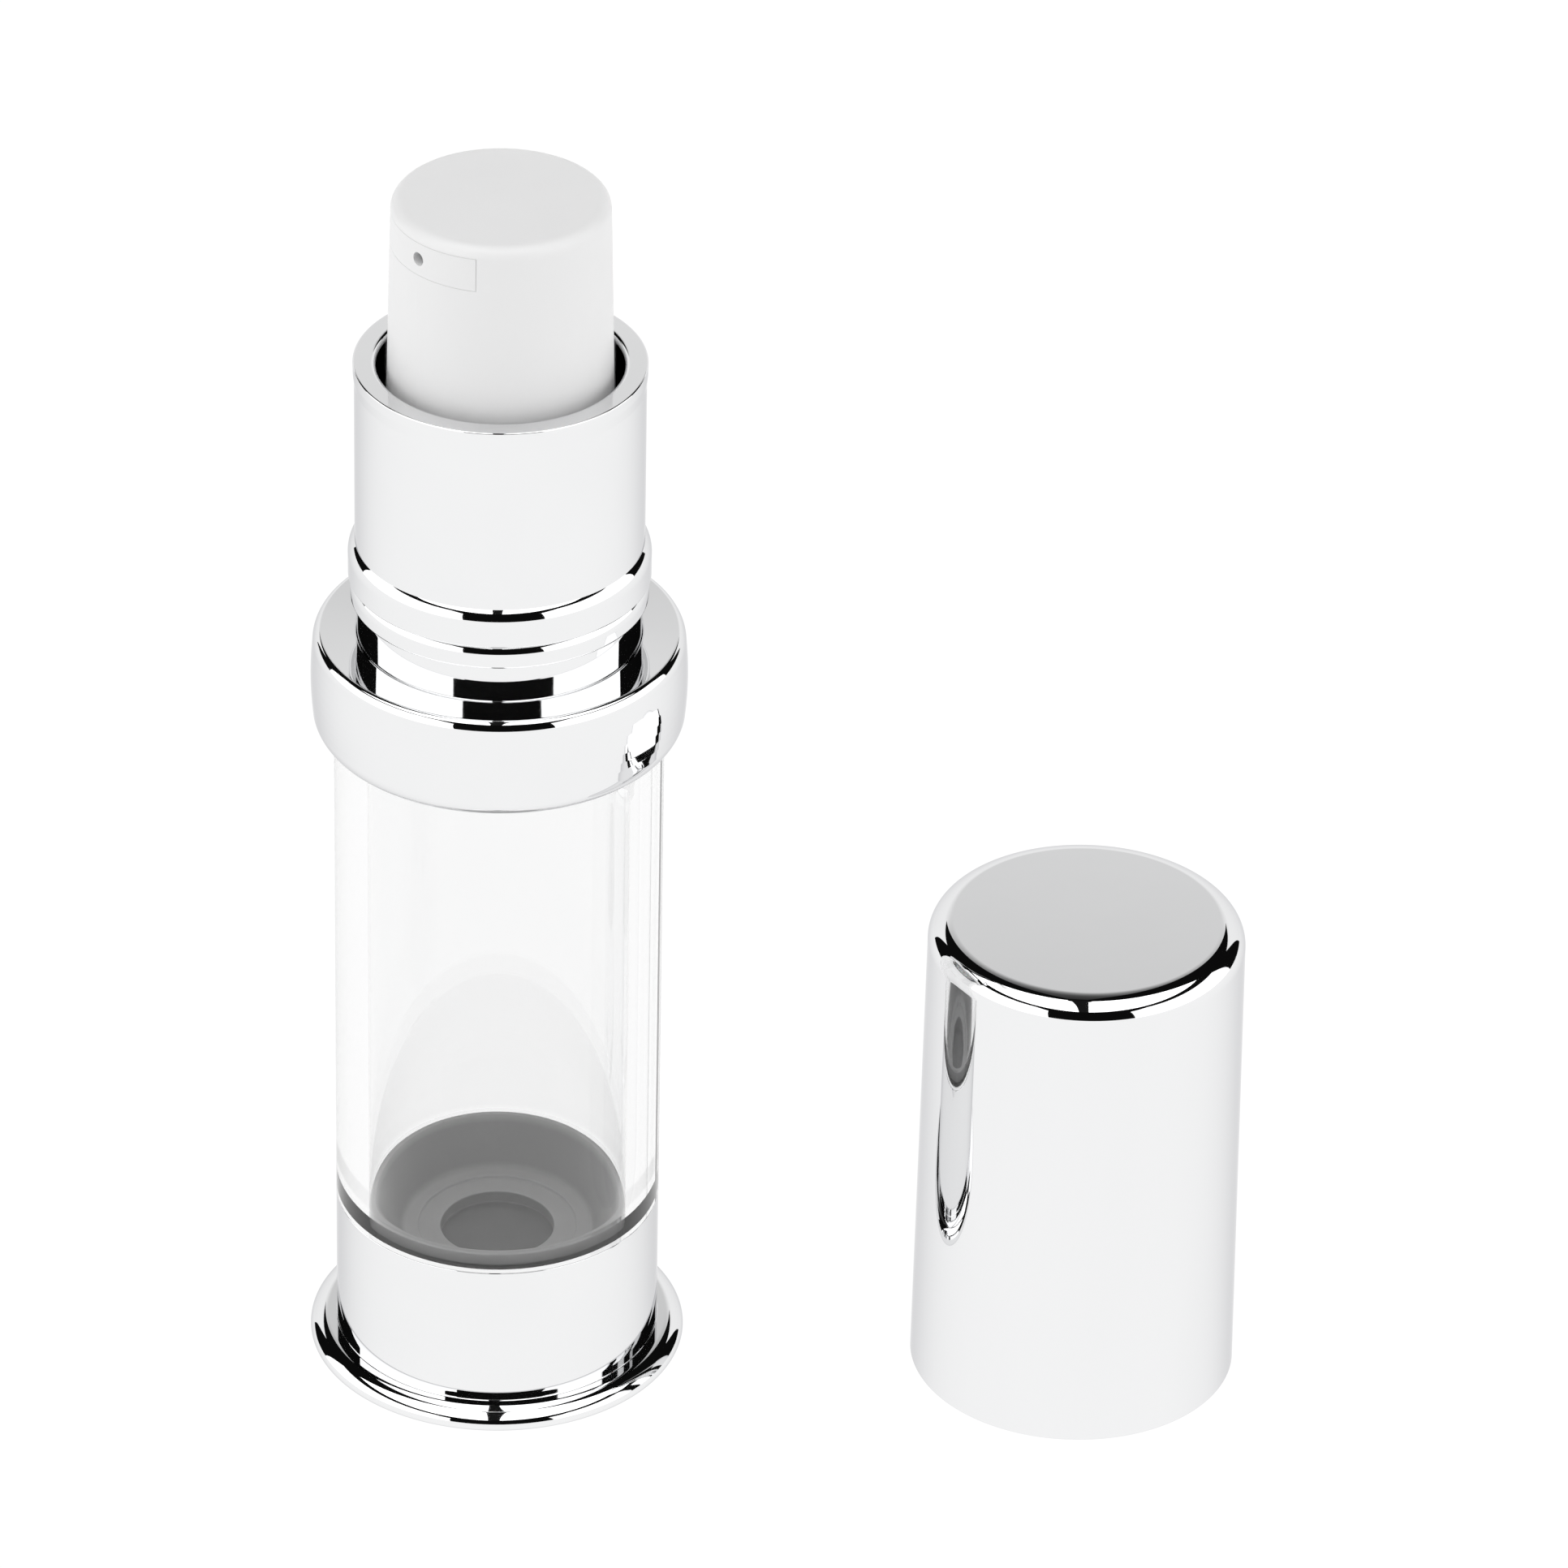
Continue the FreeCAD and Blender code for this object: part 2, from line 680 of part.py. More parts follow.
def collar_sleeve():
    """The tube round the actuator, with a low bead and the band that the overcap grips."""
    body = new_body("collar_sleeve")
    foot = closure_top + size.seat_fit
    bead_radius = sleeve_neck + size.bead_step
    bead_foot = shoulder_top + size.bead_height
    band_foot = shoulder_top + size.band_height
    sleeve_top = shoulder_top + size.sleeve_height
    rim_foot = sleeve_top - size.rim_length
    rim_radius = sleeve_neck + size.rim_step
    band_corner = (band_radius, band_foot, size.band_foot_round, True, True, True)
    rim_edge = (rim_radius, sleeve_top, size.rim_edge_round, True, False, False)
    bore_edge = (sleeve_bore, sleeve_top, size.rim_bore_round, False, False, True)
    turned(body, "tube", [
        (sleeve_bore, foot),
        (sleeve_neck, foot),
        (sleeve_neck, bead_foot),
        (bead_radius, bead_foot),
    ] + eased(bead_radius, bead_foot + size.bead_width, size.bead_round) + [
        (bead_radius - size.bead_round * ROUND_SHARE, band_foot),
    ] + rounded(*band_corner) + eased(band_radius, band_foot + size.band_width, size.band_round) + [
        (sleeve_neck + size.tube_step, rim_foot),
        (rim_radius, rim_foot + size.rim_length * HALF_SHARE),
    ] + rounded(*rim_edge) + rounded(*bore_edge))


def stem_guide():
    body = new_body("stem_guide")
    bore = size.stem_radius + size.running_fit
    inner = cylinder_wall_radius + size.seat_fit
    skirt_foot = guide_plate_foot - size.guide_skirt
    turned(body, "guide", [
        (bore, guide_plate_foot),
        (inner, guide_plate_foot),
        (inner, skirt_foot),
        (inner + size.guide_wall, skirt_foot),
        (inner + size.guide_wall, guide_top),
        (bore, guide_top),
    ])


def pump_stem():
    body = new_body("pump_stem")
    spigot_foot = stem_collar_foot - size.stem_spigot_length
    turned(body, "stem", [
        (size.stem_bore_radius, spigot_foot),
        (size.stem_spigot_radius, spigot_foot),
        (size.stem_spigot_radius, stem_collar_foot),
        (size.stem_collar_radius, stem_collar_foot),
        (size.stem_collar_radius, stem_collar_top),
        (size.stem_radius, stem_collar_top),
        (size.stem_radius, spring_seat_foot),
        (size.spring_seat_radius, spring_seat_foot),
        (size.spring_seat_radius, spring_seat_top),
        (size.stem_radius, spring_seat_top),
        (size.stem_radius, stem_top),
        (size.stem_bore_radius, stem_top),
    ])


def valve_tip():
    """A round valve flange under a cross of ribs, which is pressed into the stem's bore."""
    body = new_body("valve_tip")
    turned(body, "flange", [
        (0, valve_foot),
        (size.valve_flange_radius, valve_foot),
        (size.valve_flange_radius, valve_seat),
        (0, valve_seat),
    ])
    half = size.valve_rib_width * HALF_SHARE
    reach = (size.stem_bore_radius - size.seat_fit).side_beside(half)
    sketch = new_sketch(body, "ribs_outline", "XY_Plane", valve_foot)
    draw_outline(sketch, [
        (reach, -half), (reach, half), (half, half), (half, reach),
        (-half, reach), (-half, half), (-reach, half), (-reach, -half),
        (-half, -half), (-half, -reach), (half, -reach), (half, -half),
    ])
    ribs = body.newObject("PartDesign::Pad", "ribs")
    ribs.Profile = sketch
    ribs.Length = number(size.valve_rib_length)
    bind(ribs, "Length", size.valve_rib_length)
    doc.recompute()


def dosing_piston():
    body = new_body("dosing_piston")
    bore = size.stem_spigot_radius + size.running_fit
    lip = size.cylinder_radius - size.running_fit
    turned(body, "seal", [
        (bore, dosing_piston_foot),
        (lip, dosing_piston_foot),
        (lip, dosing_piston_foot + size.dosing_lip_height),
        (size.dosing_waist_radius, dosing_piston_foot + size.dosing_lip_height),
        (size.dosing_waist_radius, dosing_piston_top - size.dosing_lip_height),
        (lip, dosing_piston_top - size.dosing_lip_height),
        (lip, dosing_piston_top),
        (bore, dosing_piston_top),
    ])


def return_spring():
    body = new_body("return_spring")
    wire = size.spring_wire_radius
    rise = size.spring_length - wire - wire
    sketch = new_sketch(body, "coil_outline", "XZ_Plane")
    draw_ring(sketch, size.spring_radius, spring_foot + wire, wire)
    wound(body, "coil", sketch, rise / size.spring_turns, rise)


def taper_at(level):
    """The actuator's outer radius at a level of its tapered wall."""
    fall = actuator_foot_radius - actuator_top_radius
    wall_top = actuator_top - size.actuator_edge_round
    return actuator_top_radius + fall * ((wall_top - level) / (wall_top - actuator_foot))


def panel_outline():
    """The nozzle panel's section, level with the actuator's wall on its outside."""
    half = size.nozzle_panel_height * HALF_SHARE
    foot = nozzle_level - half
    top = nozzle_level + half
    inner = actuator_top_radius - size.nozzle_panel_thickness
    return [(inner, foot), (taper_at(foot), foot), (taper_at(top), top), (inner, top)]


def panel_seat_outline():
    """The seat for the panel: a fit larger all round, and open to the outside."""
    inner_foot, outer_foot, outer_top, inner_top = panel_outline()
    fit = size.seat_fit
    clear = size.nozzle_panel_thickness
    return [
        (inner_foot[0] - fit, inner_foot[1] - fit),
        (outer_foot[0] + clear, outer_foot[1] - fit),
        (outer_foot[0] + clear, outer_top[1] + fit),
        (inner_top[0] - fit, inner_top[1] + fit),
    ]


def actuator():
    """A hollow button with a stem socket and a duct to the nozzle, which faces its X axis."""
    body = new_body("actuator", turn=size.nozzle_turn)
    ceiling = actuator_top - size.actuator_crown
    socket = size.stem_radius + size.seat_fit
    socket_top = stem_top + size.seat_fit
    channel_top = nozzle_level + size.channel_radius
    edge = (actuator_top_radius, actuator_top, size.actuator_edge_round, True, False, False)
    turned(body, "button", [
        (actuator_foot_radius - size.actuator_wall, actuator_foot),
        (actuator_foot_radius, actuator_foot),
    ] + rounded(*edge) + [
        (0, actuator_top),
        (0, channel_top),
        (size.channel_radius, channel_top),
        (size.channel_radius, socket_top),
        (socket, socket_top),
        (socket, spring_seat_top + size.seat_fit),
        (socket + size.socket_wall, spring_seat_top + size.seat_fit),
        (socket + size.socket_wall, ceiling),
        (actuator_top_radius - size.actuator_wall, ceiling),
    ])
    reach = actuator_top_radius - size.actuator_wall * HALF_SHARE
    duct_outer = size.duct_radius + size.duct_wall
    round_pad(body, "duct_wall", "YZ_Plane", size.stem_radius, nozzle_level, duct_outer,
              reach - size.stem_radius)
    round_bore(body, "duct", "YZ_Plane", 0, 0, nozzle_level, size.duct_radius,
               actuator_foot_radius)
    seat = turned(body, "nozzle_seat", panel_seat_outline(), "PartDesign::Groove",
                  size.nozzle_span)
    check_cut(seat)


def nozzle_insert():
    """A curved panel level with the actuator's wall, its spigot in the duct."""
    body = new_body("nozzle_insert", turn=size.nozzle_turn)
    turned(body, "panel", panel_outline(), span=size.nozzle_span - size.nozzle_span_gap)
    inner = actuator_top_radius - size.nozzle_panel_thickness
    root = inner - size.nozzle_spigot_length
    length = size.nozzle_spigot_length + size.nozzle_panel_thickness * HALF_SHARE
    radius = size.duct_radius - size.seat_fit
    round_pad(body, "spigot", "YZ_Plane", root, nozzle_level, radius, length)
    round_bore(body, "orifice", "YZ_Plane", root, 0, nozzle_level, size.orifice_radius,
               size.nozzle_spigot_length + actuator_foot_radius - inner)


def overcap_taper(level):
    """The overcap's outer radius at a height above its mouth."""
    fall = overcap_mouth - overcap_top
    wall = size.overcap_height - size.overcap_edge_round
    return overcap_mouth - fall * (level / wall)


def overcap_shell():
    body = new_body("overcap_shell", (size.overcap_place_x, size.overcap_place_y, 0))
    wall = size.overcap_wall
    inner_round = size.overcap_edge_round - wall
    outer = (overcap_top, size.overcap_height, size.overcap_edge_round)
    inner = (overcap_top - wall, size.overcap_height - wall, inner_round)
    turned(body, "shell", [
        (overcap_mouth - wall, 0),
        (overcap_mouth, 0),
    ] + rounded(*outer, True, False, False) + [
        (0, size.overcap_height),
        (0, size.overcap_height - wall),
    ] + rounded(*inner, True, False, True))


def overcap_lining():
    """A plastic lining a fit inside the shell, with the ring that grips the sleeve's band."""
    body = new_body("overcap_lining", (size.overcap_place_x, size.overcap_place_y, 0))
    skin = size.overcap_wall + size.seat_fit
    depth = skin + size.lining_wall
    top = size.overcap_height - skin
    corner = size.overcap_edge_round - skin
    grip_foot = size.grip_height
    grip_top = size.grip_height + size.grip_width
    outer = (overcap_top - skin, top, corner)
    turned(body, "lining", [
        (overcap_taper(size.lining_recess) - depth, size.lining_recess),
        (overcap_taper(size.lining_recess) - skin, size.lining_recess),
    ] + rounded(*outer, True, False, False) + [
        (0, top),
        (0, top - size.lining_wall),
        (overcap_top - skin - corner, top - size.lining_wall),
        (overcap_top - depth, top - corner),
        (overcap_taper(grip_top) - depth, grip_top),
        ("through", band_radius - size.grip_bite, (grip_foot + grip_top) * HALF_SHARE),
        (overcap_taper(grip_foot) - depth, grip_foot),
    ])


barrel()
base_ring()
base_plug()
follower_piston()
neck_gasket()
pump_housing()
inlet_ball()
screw_closure()
shoulder_ring()
collar_sleeve()
stem_guide()
pump_stem()
valve_tip()
dosing_piston()
return_spring()
actuator()
nozzle_insert()
overcap_shell()
overcap_lining()
doc.recompute()

# Nothing is written unless every object is sound and every piece is one valid solid.
for item in doc.Objects:
    if "Invalid" in item.State or "Error" in item.State:
        raise RuntimeError(f"{item.Label} failed: {item.State}")
pieces = [item for item in doc.Objects if item.TypeId in ("PartDesign::Body", "Part::Sphere")]
for piece in pieces:
    if piece.Shape.isNull() or not piece.Shape.isValid() or len(piece.Shape.Solids) != 1:
        raise RuntimeError(f"{piece.Label} isn't one valid solid")

os.makedirs("parts", exist_ok=True)
for piece in pieces:
    piece.Shape.exportStep(f"parts/{piece.Label}.step")
    print(piece.Label, round(piece.Shape.Volume, 3))
for name, level in (("piston travel", nest_lift - size.nest_gap), ("stroke", size.stroke)):
    print(name, round(number(level), 4))
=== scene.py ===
import math

import bpy
from mathutils import Matrix, Vector


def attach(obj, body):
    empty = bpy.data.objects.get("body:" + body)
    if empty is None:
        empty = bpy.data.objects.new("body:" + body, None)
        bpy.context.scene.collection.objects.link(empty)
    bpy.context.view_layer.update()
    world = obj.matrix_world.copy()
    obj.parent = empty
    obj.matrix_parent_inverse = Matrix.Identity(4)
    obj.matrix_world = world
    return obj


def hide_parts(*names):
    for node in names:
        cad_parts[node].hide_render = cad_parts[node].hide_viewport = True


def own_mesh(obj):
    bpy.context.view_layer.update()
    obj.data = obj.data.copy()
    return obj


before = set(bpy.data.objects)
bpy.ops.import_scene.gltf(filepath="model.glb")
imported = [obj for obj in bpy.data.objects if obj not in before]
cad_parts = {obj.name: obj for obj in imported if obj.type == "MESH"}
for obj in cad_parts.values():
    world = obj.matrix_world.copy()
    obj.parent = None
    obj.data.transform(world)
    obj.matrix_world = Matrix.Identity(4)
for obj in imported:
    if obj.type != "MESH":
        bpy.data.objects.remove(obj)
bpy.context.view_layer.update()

# Camera: a long lens, a little over half a metre away, looking down on the bottle, as steeply
# and as slightly tilted as the photograph was taken.
CAMERA_PLACE = (0.018222, -0.57632, 0.39897)
CAMERA_PITCH = 0.55391
CAMERA_ROLL = -0.020396
LENS_MM = 243.38
SENSOR_MM = 36.0
NEAREST = 0.01
FARTHEST = 20.0

ahead = Vector((0, math.cos(CAMERA_PITCH), -math.sin(CAMERA_PITCH)))
level_right = Vector((1, 0, 0))
level_down = ahead.cross(level_right)
right = level_right * math.cos(CAMERA_ROLL) + level_down * math.sin(CAMERA_ROLL)
down = level_down * math.cos(CAMERA_ROLL) - level_right * math.sin(CAMERA_ROLL)
camera_data = bpy.data.cameras.new("camera")
camera_data.lens = LENS_MM
camera_data.sensor_width = SENSOR_MM
camera_data.clip_start = NEAREST
camera_data.clip_end = FARTHEST
camera = bpy.data.objects.new("camera", camera_data)
bpy.context.scene.collection.objects.link(camera)
turn = Matrix((right, -down, -ahead)).transposed().to_4x4()
camera.matrix_world = Matrix.Translation(CAMERA_PLACE) @ turn
bpy.context.scene.camera = camera
bpy.context.scene.view_settings.view_transform = "Standard"
bpy.context.scene.view_settings.look = "None"

# Room: white where the lens or the clear barrel looks past the floor, and dark in what the
# bright pieces mirror, like a studio with its lamps off round a small light tent.
ROOM_WHITE = (1.0, 1.0, 1.0, 1.0)
ROOM_DARK = (0.004, 0.004, 0.004, 1.0)

world = bpy.data.worlds.new("room")
world.use_nodes = True
bpy.context.scene.world = world
nodes, links = world.node_tree.nodes, world.node_tree.links
nodes.clear()
path = nodes.new("ShaderNodeLightPath")
seen = nodes.new("ShaderNodeMath")
seen.operation = "MAXIMUM"
mix = nodes.new("ShaderNodeMix")
mix.data_type = "RGBA"
mix.inputs["A"].default_value = ROOM_DARK
mix.inputs["B"].default_value = ROOM_WHITE
sky = nodes.new("ShaderNodeBackground")
out = nodes.new("ShaderNodeOutputWorld")
links.new(path.outputs["Is Camera Ray"], seen.inputs[0])
links.new(path.outputs["Is Transmission Ray"], seen.inputs[1])
links.new(seen.outputs[0], mix.inputs["Factor"])
links.new(mix.outputs["Result"], sky.inputs["Color"])
links.new(sky.outputs[0], out.inputs["Surface"])

# Floor: a plain white table lit from below, so that it stays white right up to the foot.
FLOOR_HALF = 3.0
FLOOR_GLOW = 0.985
FLOOR_WHITE = (0.05, 0.05, 0.05, 1.0)


def glowing(name, strength, diffuse=None):
    """A material that shines white, with a plain matt colour under its light."""
    made = bpy.data.materials.new(name)
    made.use_nodes = True
    tree = made.node_tree
    tree.nodes.clear()
    lamp = tree.nodes.new("ShaderNodeEmission")
    lamp.inputs["Strength"].default_value = strength
    end = tree.nodes.new("ShaderNodeOutputMaterial")
    if diffuse is None:
        tree.links.new(lamp.outputs[0], end.inputs["Surface"])
        return made
    matt = tree.nodes.new("ShaderNodeBsdfDiffuse")
    matt.inputs["Color"].default_value = diffuse
    both = tree.nodes.new("ShaderNodeAddShader")
    tree.links.new(lamp.outputs[0], both.inputs[0])
    tree.links.new(matt.outputs[0], both.inputs[1])
    tree.links.new(both.outputs[0], end.inputs["Surface"])
    return made


def shown(name, points, faces, material):
    """A mesh object from its points and faces, with one material."""
    mesh = bpy.data.meshes.new(name)
    mesh.from_pydata(points, [], faces)
    mesh.materials.append(material)
    made = bpy.data.objects.new(name, mesh)
    bpy.context.scene.collection.objects.link(made)
    return made


corners = [(-FLOOR_HALF, -FLOOR_HALF, 0), (FLOOR_HALF, -FLOOR_HALF, 0),
           (FLOOR_HALF, FLOOR_HALF, 0), (-FLOOR_HALF, FLOOR_HALF, 0)]
shown("floor", corners, [(0, 1, 2, 3)], glowing("lit_table", FLOOR_GLOW, FLOOR_WHITE))

# Light tent: soft walls left and right of the lens, a brighter roof above them with a dark
# joint down its middle, and a sweep of paper behind the bottle, white low down and dark above.
# The lens looks in between the walls, through an opening that widens under the roof.
TENT_RADIUS = 1.5
TENT_STEPS = 16
WALL_GLOW = 1.5
ROOF_GLOW = 2.0
# Each panel's four corners, as degrees round the bottle from the lens' side and degrees of rise.
TENT_PANELS = {
    "wall_left": ((-115.0, 0.0), (-24.0, 0.0), (-115.0, 30.0), (-26.0, 30.0)),
    "wall_left_top": ((-115.0, 30.0), (-26.0, 30.0), (-115.0, 35.5), (-37.0, 35.5)),
    "wall_right": ((34.0, 0.0), (115.0, 0.0), (33.5, 30.0), (115.0, 30.0)),
    "wall_right_top": ((33.5, 30.0), (115.0, 30.0), (48.0, 35.5), (115.0, 35.5)),
    "roof_left": ((-115.0, 47.0), (0.0, 40.0), (-115.0, 86.0), (0.0, 86.0)),
    "roof_right": ((0.0, 40.0), (115.0, 47.0), (0.0, 86.0), (115.0, 86.0)),
}
SWEEP_FOOT = ((138.0, 0.0), (222.0, 0.0), (138.0, 30.5), (222.0, 30.5))
SWEEP_TOP = ((164.0, 30.5), (196.0, 30.5), (164.0, 80.0), (196.0, 80.0))
# The paper's shine at each rise, in degrees.
SWEEP_GLOW = {0: 1.0, 27: 0.98, 29.5: 0.92, 31: 0.87, 32: 0.83, 33: 0.765, 36: 0.6, 46: 0.26,
              60: 0.08, 80: 0.03}
PAPER_GLOW = 1.0
JOINT_HALF = 0.072
JOINT_DROP = 0.072
JOINT_GLOW = 0.01
JOINT_FOOT = 40.0
JOINT_TOP = 96.0


def out_of_sight(piece):
    """Keeps a piece of the studio from the lens, which only sees it mirrored."""
    piece.visible_camera = False
    piece.visible_transmission = False


def tent_panel(name, spots, material):
    """A panel of the tent from the turn and rise of its corners: two at its foot, two above."""
    points = []
    for row in range(TENT_STEPS + 1):
        up = row / TENT_STEPS
        for column in range(TENT_STEPS + 1):
            along = column / TENT_STEPS
            shares = (1 - along) * (1 - up), along * (1 - up), (1 - along) * up, along * up
            aim, rise = (
                math.radians(sum(share * spot[axis] for share, spot in zip(shares, spots)))
                for axis in (0, 1)
            )
            points.append((
                TENT_RADIUS * math.cos(rise) * math.sin(aim),
                -TENT_RADIUS * math.cos(rise) * math.cos(aim),
                TENT_RADIUS * math.sin(rise),
            ))
    across = TENT_STEPS + 1
    faces = [
        (row * across + column, row * across + column + 1,
         (row + 1) * across + column + 1, (row + 1) * across + column)
        for row in range(TENT_STEPS) for column in range(TENT_STEPS)
    ]
    out_of_sight(shown(name, points, faces, material))


wall = glowing("tent_cloth", WALL_GLOW)
roof = glowing("tent_roof", ROOF_GLOW)
for name, spots in TENT_PANELS.items():
    tent_panel(name, spots, roof if name.startswith("roof") else wall)

points = []
reach = TENT_RADIUS - JOINT_DROP
for row in range(TENT_STEPS + 1):
    rise = math.radians(JOINT_FOOT + (JOINT_TOP - JOINT_FOOT) * row / TENT_STEPS)
    for side in (-1, 1):
        points.append((side * JOINT_HALF, -reach * math.cos(rise), reach * math.sin(rise)))
faces = [(2 * row, 2 * row + 1, 2 * row + 3, 2 * row + 2) for row in range(TENT_STEPS)]
out_of_sight(shown("roof_joint", points, faces, glowing("roof_joint", JOINT_GLOW)))

paper = glowing("paper_sweep", PAPER_GLOW)
tree = paper.node_tree
place = tree.nodes.new("ShaderNodeTexCoord")
parts = tree.nodes.new("ShaderNodeSeparateXYZ")
level = tree.nodes.new("ShaderNodeMath")
level.operation = "DIVIDE"
level.inputs[1].default_value = TENT_RADIUS
fade = tree.nodes.new("ShaderNodeValToRGB")
stops = fade.color_ramp.elements
for index, (rise, shine) in enumerate(SWEEP_GLOW.items()):
    height = math.sin(math.radians(rise))
    stop = stops[index] if index < len(stops) else stops.new(height)
    stop.position = height
    stop.color = (shine, shine, shine, 1.0)
tree.links.new(place.outputs["Object"], parts.inputs[0])
tree.links.new(parts.outputs["Z"], level.inputs[0])
tree.links.new(level.outputs[0], fade.inputs["Fac"])
tree.links.new(fade.outputs["Color"], tree.nodes["Emission"].inputs["Color"])
tent_panel("sweep_foot", SWEEP_FOOT, paper)
tent_panel("sweep_top", SWEEP_TOP, paper)

# Base ring: the bottle's foot, a moulded skirt with a round flange, plated with bright chrome
# and pressed over the barrel's tail. Sizes are (radius, height, round) at each corner, in mm.
FLANGE_EDGE = [(12.27, 0.45), (12.2358, 0.6663), (12.1363, 0.8614)]
FLANGE_TOP = [(12.1363, 0.8614), (11.6723, 1.2577), (11.0789, 1.4)]
CHROME = (0.87, 0.872, 0.875, 1.0)
CHROME_SHADE = (0.845, 0.848, 0.853, 1.0)
CHROME_EDGE = (0.72, 0.72, 0.73, 1.0)
MM = 0.001
TURNS = 192
ARC_STEP = 3.0
BOW_FINER = 2
RUN_END = 0.04
RUN_LEAST = 0.16
TOUCHING = 0.0004
CREASE = 30.0
DRIFT_DETAIL = 3.0
DRIFT_LOW = 0.3
DRIFT_HIGH = 0.7
GRAIN_DETAIL = 2.0


def softened(corners):
    """The section's points with its corners rounded, and a close pair at each run's ends."""
    curve = []
    for index, (across, up, size) in enumerate(corners):
        here = Vector((across, up))
        if not size:
            curve.append(here)
            continue
        before = (Vector(corners[index - 1][:2]) - here).normalized()
        after = (Vector(corners[(index + 1) % len(corners)][:2]) - here).normalized()
        half = before.angle(after) / 2
        middle = here + (before + after).normalized() * (size / math.sin(half))
        spoke = here + before * (size / math.tan(half)) - middle
        sweep = math.pi - 2 * half
        if before.x * after.y - before.y * after.x > 0:
            sweep = -sweep
        steps = max(2, round(abs(math.degrees(sweep)) / ARC_STEP))
        for step in range(steps + 1):
            curve.append(middle + Matrix.Rotation(sweep * step / steps, 2) @ spoke)
    points = []
    for index, here in enumerate(curve):
        run = curve[(index + 1) % len(curve)] - here
        if run.length < TOUCHING:
            continue
        points.append(here)
        on_axis = here.x == run.x == 0
        if run.length > RUN_LEAST and not on_axis:
            points.append(here + run.normalized() * RUN_END)
            points.append(here + run - run.normalized() * RUN_END)
    return points


def bowed(start, past, end):
    """The points of a wide round through three points of a section, its end left out."""
    first, middle, last = (Vector(spot) for spot in (start, past, end))
    ax, ay = middle - first
    bx, by = last - first
    twice = 2 * (ax * by - ay * bx)
    along, across = ax * ax + ay * ay, bx * bx + by * by
    hub = first + Vector((by * along - ay * across, ax * across - bx * along)) / twice
    spoke = first - hub
    sweep = 2 * math.asin((last - first).length / 2 / spoke.length)
    if twice < 0:
        sweep = -sweep
    steps = max(4, round(abs(math.degrees(sweep)) / ARC_STEP * BOW_FINER))
    spots = [hub + Matrix.Rotation(sweep * step / steps, 2) @ spoke for step in range(steps)]
    return [(spot.x, spot.y, 0) for spot in spots]


def lathed(name, corners, material, place=(0.0, 0.0)):
    """A turned piece from its half section, which runs along its foot and up its outside."""
    section = softened(corners)
    points, rings = [], []
    for spot in section:
        if spot.x < TOUCHING:
            rings.append([len(points)] * TURNS)
            points.append((place[0] * MM, place[1] * MM, spot.y * MM))
            continue
        rings.append(range(len(points), len(points) + TURNS))
        for turn in range(TURNS):
            angle = 2 * math.pi * turn / TURNS
            points.append((
                (place[0] + spot.x * math.cos(angle)) * MM,
                (place[1] + spot.x * math.sin(angle)) * MM,
                spot.y * MM,
            ))
    faces = []
    for index, ring in enumerate(rings):
        after = rings[(index + 1) % len(rings)]
        for turn in range(TURNS):
            beside = (turn + 1) % TURNS
            face = dict.fromkeys((ring[turn], ring[beside], after[beside], after[turn]))
            if len(face) > 2:
                faces.append(tuple(face))
    made = shown(name, points, faces, material)
    made.data.shade_smooth()
    made.data.set_sharp_from_angle(angle=math.radians(CREASE))
    return made


def finish(name, color, shade, rough, patch, grain, height, stretch=(1, 1, 1)):
    """A finish whose colour and roughness drift over patches, with a fine grain on it.

    Patch and grain are widths in metres, height is the grain's depth, and stretch divides
    the patterns' widths along the three axes.
    """
    made = bpy.data.materials.new(name)
    made.use_nodes = True
    tree = made.node_tree
    shader = tree.nodes["Principled BSDF"]
    spot = tree.nodes.new("ShaderNodeTexCoord")
    scaled = tree.nodes.new("ShaderNodeMapping")
    scaled.inputs["Scale"].default_value = stretch
    tree.links.new(spot.outputs["Object"], scaled.inputs["Vector"])
    drift = tree.nodes.new("ShaderNodeTexNoise")
    drift.inputs["Scale"].default_value = 1 / patch
    drift.inputs["Detail"].default_value = DRIFT_DETAIL
    tree.links.new(scaled.outputs[0], drift.inputs["Vector"])
    tone = tree.nodes.new("ShaderNodeMix")
    tone.data_type = "RGBA"
    tone.inputs["A"].default_value = color
    tone.inputs["B"].default_value = shade
    tree.links.new(drift.outputs["Fac"], tone.inputs["Factor"])
    tree.links.new(tone.outputs["Result"], shader.inputs["Base Color"])
    gloss = tree.nodes.new("ShaderNodeMapRange")
    gloss.inputs["From Min"].default_value = DRIFT_LOW
    gloss.inputs["From Max"].default_value = DRIFT_HIGH
    gloss.inputs["To Min"].default_value = rough[0]
    gloss.inputs["To Max"].default_value = rough[1]
    tree.links.new(drift.outputs["Fac"], gloss.inputs["Value"])
    tree.links.new(gloss.outputs[0], shader.inputs["Roughness"])
    fine = tree.nodes.new("ShaderNodeTexNoise")
    fine.inputs["Scale"].default_value = 1 / grain
    fine.inputs["Detail"].default_value = GRAIN_DETAIL
    tree.links.new(scaled.outputs[0], fine.inputs["Vector"])
    bump = tree.nodes.new("ShaderNodeBump")
    bump.inputs["Strength"].default_value = 1.0
    bump.inputs["Distance"].default_value = height
    tree.links.new(fine.outputs["Fac"], bump.inputs["Height"])
    tree.links.new(bump.outputs[0], shader.inputs["Normal"])
    return made


def bright_metal(material, edge):
    """Turns a finish into bright metal, with the colour that its mirror image takes at a graze."""
    shader = material.node_tree.nodes["Principled BSDF"]
    shader.inputs["Metallic"].default_value = 1.0
    shader.inputs["Specular Tint"].default_value = edge


